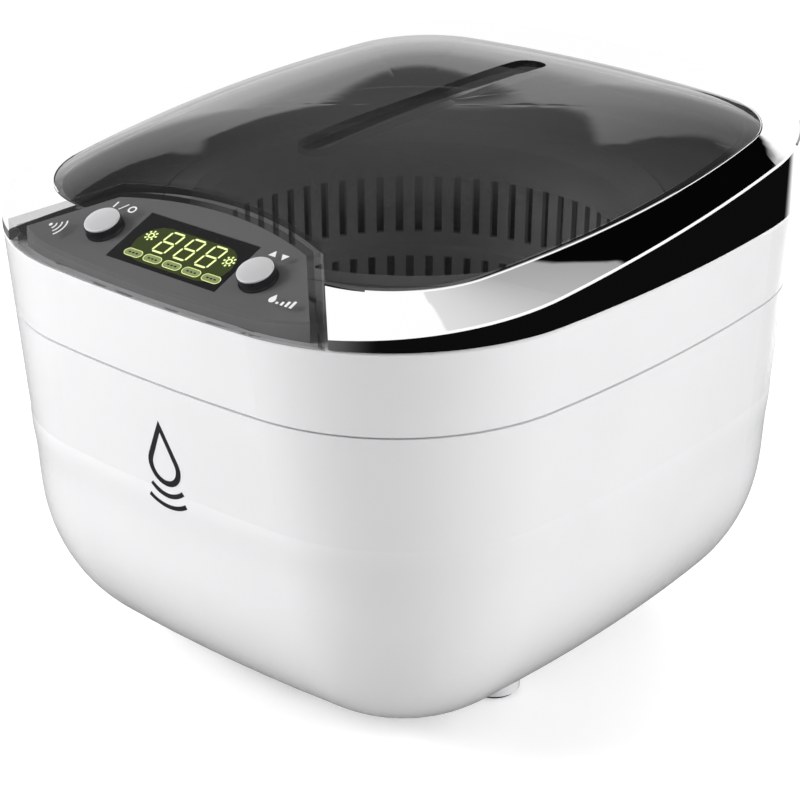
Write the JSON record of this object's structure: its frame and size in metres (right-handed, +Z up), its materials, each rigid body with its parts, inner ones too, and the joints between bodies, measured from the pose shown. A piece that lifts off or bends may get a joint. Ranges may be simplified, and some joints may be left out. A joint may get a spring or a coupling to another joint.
{
  "type": "ultrasonic cleaner",
  "caption": "Bench-top ultrasonic cleaner for jewellery: white housing, steel tank, slotted basket, hinged smoked lid with chrome trim, tilted control panel.",
  "frame": {"origin": "middle of the whole footprint (hinge included) on the plane that the feet stand on", "axes": "+Z up, -Y towards the user and the control panel, +Y towards the lid hinge, +X to the user's right"},
  "size_m": [0.1866, 0.2124, 0.1551],
  "materials": {
    "housing_white": "glossy moulded white ABS",
    "chrome_trim": "bright plated trim",
    "window_smoke": "polished smoked clear plastic",
    "panel_smoke": "polished smoked clear plastic",
    "panel_grey": "fine satin grey",
    "display_black": "black display glass",
    "circuit_board": "green solder mask",
    "component_black": "black moulded plastic",
    "button_silver": "satin silver paint",
    "tank_steel": "satin stainless steel",
    "silicone_grey": "soft silicone",
    "basket_grey": "light grey moulded plastic",
    "aluminium": "machined",
    "ceramic": "silvered piezo ceramic",
    "brass": "plain",
    "steel": "zinc plated",
    "ferrite": "sintered ferrite",
    "winding_tape": "yellow winding tape",
    "fuse_glass": "clear glass tube",
    "connector_white": "natural nylon",
    "lead_brown": "insulated wire",
    "lead_red": "insulated wire",
    "rubber_black": "matt rubber"
  },
  "bodies": {
    "housing": {"lower_shell": "housing_white", "upper_shell": "housing_white", "feet": "rubber_black", "case_screws": "steel", "tank": "tank_steel", "tank_gasket": "silicone_grey", "transducer_front_mass": "aluminium", "piezo_rings": "ceramic", "electrode_plates": "brass", "transducer_back_mass": "steel", "transducer_bolt": "steel", "panel_cover": "panel_smoke", "panel_plate": "panel_grey", "display_module": "display_black", "display_board": "circuit_board", "tact_switches": "component_black", "hinge_brackets": "component_black", "hinge_pins": "steel", "driver_board": "circuit_board", "transformer_core": "ferrite", "transformer_winding": "winding_tape", "heat_sink": "aluminium", "power_transistors": "component_black", "capacitors": "component_black", "fuse": "fuse_glass", "fuse_clips": "brass", "board_connectors": "connector_white", "board_screws": "steel", "fan_frame": "component_black", "fan_screws": "steel", "mains_inlet": "component_black", "inlet_pins": "brass", "mains_leads": "lead_brown", "transducer_leads": "lead_red"},
    "lid": {"lid_ring": "chrome_trim", "lid_window": "window_smoke", "lid_frame": "component_black", "lid_bumpers": "rubber_black", "lid_knuckles": "component_black", "hinge_screws": "steel"},
    "basket": {"basket": "basket_grey"},
    "power_button": {"power_button_cap": "button_silver", "power_button_stem": "component_black"},
    "set_button": {"set_button_cap": "button_silver", "set_button_stem": "component_black"},
    "fan_rotor": {"fan_rotor": "component_black"}
  },
  "joints": [
    {"name": "lid_hinge", "type": "hinge", "parent": "housing", "child": "lid", "pos_m": [0, 0.10257, 0.1296], "axis": [-1, 0, 0], "range_deg": [0, 100]},
    {"name": "basket_lift", "type": "slide", "parent": "housing", "child": "basket", "axis": [0, 0, 1], "range_m": [0, 0.008]},
    {"name": "power_button_press", "type": "slide", "parent": "housing", "child": "power_button", "axis": [0, 0.3827, -0.9239], "range_m": [0, 0.0006], "stiffness_N_per_m": 400, "springref_m": -0.002},
    {"name": "set_button_press", "type": "slide", "parent": "housing", "child": "set_button", "axis": [0, 0.3827, -0.9239], "range_m": [0, 0.0006], "stiffness_N_per_m": 400, "springref_m": -0.002},
    {"name": "fan_spin", "type": "hinge", "parent": "housing", "child": "fan_rotor", "pos_m": [0, -0.04983, 0.018], "axis": [0, 0, 1], "continuous": true}
  ]
}
